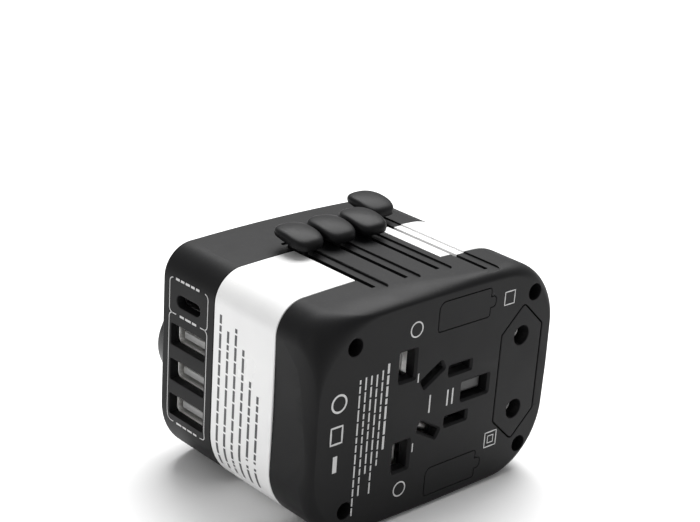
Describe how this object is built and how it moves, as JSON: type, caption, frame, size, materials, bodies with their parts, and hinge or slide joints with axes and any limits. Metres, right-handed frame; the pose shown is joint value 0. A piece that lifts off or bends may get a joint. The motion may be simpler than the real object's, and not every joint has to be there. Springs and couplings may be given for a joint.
{
  "type": "universal travel adapter",
  "caption": "Cube-shaped universal travel adapter with sliding plug pins on thumb sliders, a raised oval socket plate, USB-A and USB-C ports, lift-out fuse trays and a white middle band.",
  "frame": {"origin": "middle of the underside", "axes": "+X out of the plug face, +Y away from the USB ports, +Z out of the slider face"},
  "size_m": [0.06, 0.074, 0.06],
  "materials": {
    "black_shell": "fine-sparked soft matte black polycarbonate",
    "white_band": "polished white polycarbonate",
    "socket_plate": "polished black polycarbonate",
    "clear_lens": "clear acrylic",
    "knob_black": "satin black plastic",
    "spring_steel": "bright drawn steel",
    "brass": "tinned and plain brass",
    "black_insulator": "moulded black plastic",
    "nickel": "nickel plated",
    "white_nylon": "natural nylon",
    "grey_tongue": "grey moulded insulator",
    "ceramic": "glazed ceramic tube",
    "circuit_board": "green solder mask",
    "transformer_tape": "yellow polyester tape",
    "capacitor_sleeve": "blue shrink sleeve"
  },
  "bodies": {
    "case": {"rear_shell": "black_shell", "front_shell": "black_shell", "middle_band": "white_band", "band_strip": "white_band", "socket_plate": "socket_plate", "indicator_lens": "clear_lens", "shutter_spring": "spring_steel", "line_contact_1": "brass", "line_contact_2": "brass", "earth_contact": "brass", "slider_frame": "white_nylon", "bus_bar_1": "brass", "bus_bar_2": "brass", "fuse_clips": "brass", "case_screws": "spring_steel", "usb_board": "circuit_board", "usb_a_shell_1": "nickel", "usb_a_shell_2": "nickel", "usb_a_shell_3": "nickel", "usb_a_tongue_1": "grey_tongue", "usb_a_tongue_2": "grey_tongue", "usb_a_tongue_3": "grey_tongue", "usb_c_shell": "nickel", "usb_c_tongue": "black_insulator", "transformer": "transformer_tape", "filter_capacitor": "capacitor_sleeve", "light_pipe": "clear_lens"},
    "uk_set": {"uk_carriage": "white_nylon", "uk_line_pins": "nickel", "uk_earth_pin": "black_insulator", "uk_latch_spring": "spring_steel"},
    "uk_latch": {"uk_knob": "knob_black"},
    "au_set": {"au_carriage": "white_nylon", "au_pins": "nickel", "au_latch_spring": "spring_steel"},
    "au_latch": {"au_knob": "knob_black"},
    "us_set": {"us_carriage": "white_nylon", "us_pins": "nickel", "us_latch_spring": "spring_steel"},
    "us_latch": {"us_knob": "knob_black"},
    "eu_set": {"eu_carriage": "white_nylon", "eu_pins": "nickel", "eu_latch_spring": "spring_steel"},
    "eu_latch": {"eu_knob": "knob_black"},
    "eu_pin_block": {"eu_block": "black_shell"},
    "safety_shutter": {"shutter": "white_nylon"},
    "fuse_tray": {"fuse_door": "black_shell", "fuse": "ceramic"},
    "spare_fuse_tray": {"spare_fuse_door": "black_shell", "spare_fuse": "ceramic"}
  },
  "joints": [
    {"name": "uk_slide", "type": "slide", "parent": "case", "child": "uk_set", "axis": [1, 0, 0], "range_m": [0, 0.0212]},
    {"name": "uk_latch_press", "type": "slide", "parent": "uk_set", "child": "uk_latch", "axis": [0, 0, -1], "range_m": [0, 0.001], "stiffness_N_per_m": 500, "springref_m": -0.002, "deforming": ["uk_latch_spring"]},
    {"name": "au_slide", "type": "slide", "parent": "case", "child": "au_set", "axis": [1, 0, 0], "range_m": [0, 0.0205]},
    {"name": "au_latch_press", "type": "slide", "parent": "au_set", "child": "au_latch", "axis": [0, 0, -1], "range_m": [0, 0.001], "stiffness_N_per_m": 500, "springref_m": -0.002, "deforming": ["au_latch_spring"]},
    {"name": "us_slide", "type": "slide", "parent": "case", "child": "us_set", "axis": [1, 0, 0], "range_m": [0, 0.021]},
    {"name": "us_latch_press", "type": "slide", "parent": "us_set", "child": "us_latch", "axis": [0, 0, -1], "range_m": [0, 0.001], "stiffness_N_per_m": 500, "springref_m": -0.002, "deforming": ["us_latch_spring"]},
    {"name": "eu_slide", "type": "slide", "parent": "case", "child": "eu_set", "axis": [1, 0, 0], "range_m": [0, 0.035]},
    {"name": "eu_latch_press", "type": "slide", "parent": "eu_set", "child": "eu_latch", "axis": [0, 0, -1], "range_m": [0, 0.001], "stiffness_N_per_m": 500, "springref_m": -0.002, "deforming": ["eu_latch_spring"]},
    {"name": "eu_block_slide", "type": "slide", "parent": "case", "child": "eu_pin_block", "axis": [1, 0, 0], "range_m": [0, 0.0145]},
    {"name": "shutter_slide", "type": "slide", "parent": "case", "child": "safety_shutter", "axis": [0, 1, 0], "range_m": [0, 0.0078], "stiffness_N_per_m": 60, "springref_m": -0.004, "deforming": ["shutter_spring"]},
    {"name": "fuse_tray_pull", "type": "slide", "parent": "case", "child": "fuse_tray", "axis": [1, 0, 0], "range_m": [0, 0.012]},
    {"name": "spare_fuse_tray_pull", "type": "slide", "parent": "case", "child": "spare_fuse_tray", "axis": [1, 0, 0], "range_m": [0, 0.012]}
  ],
  "couplings": [
    {"joint": "eu_block_slide", "follows": "eu_slide", "ratio": 0.4142}
  ]
}
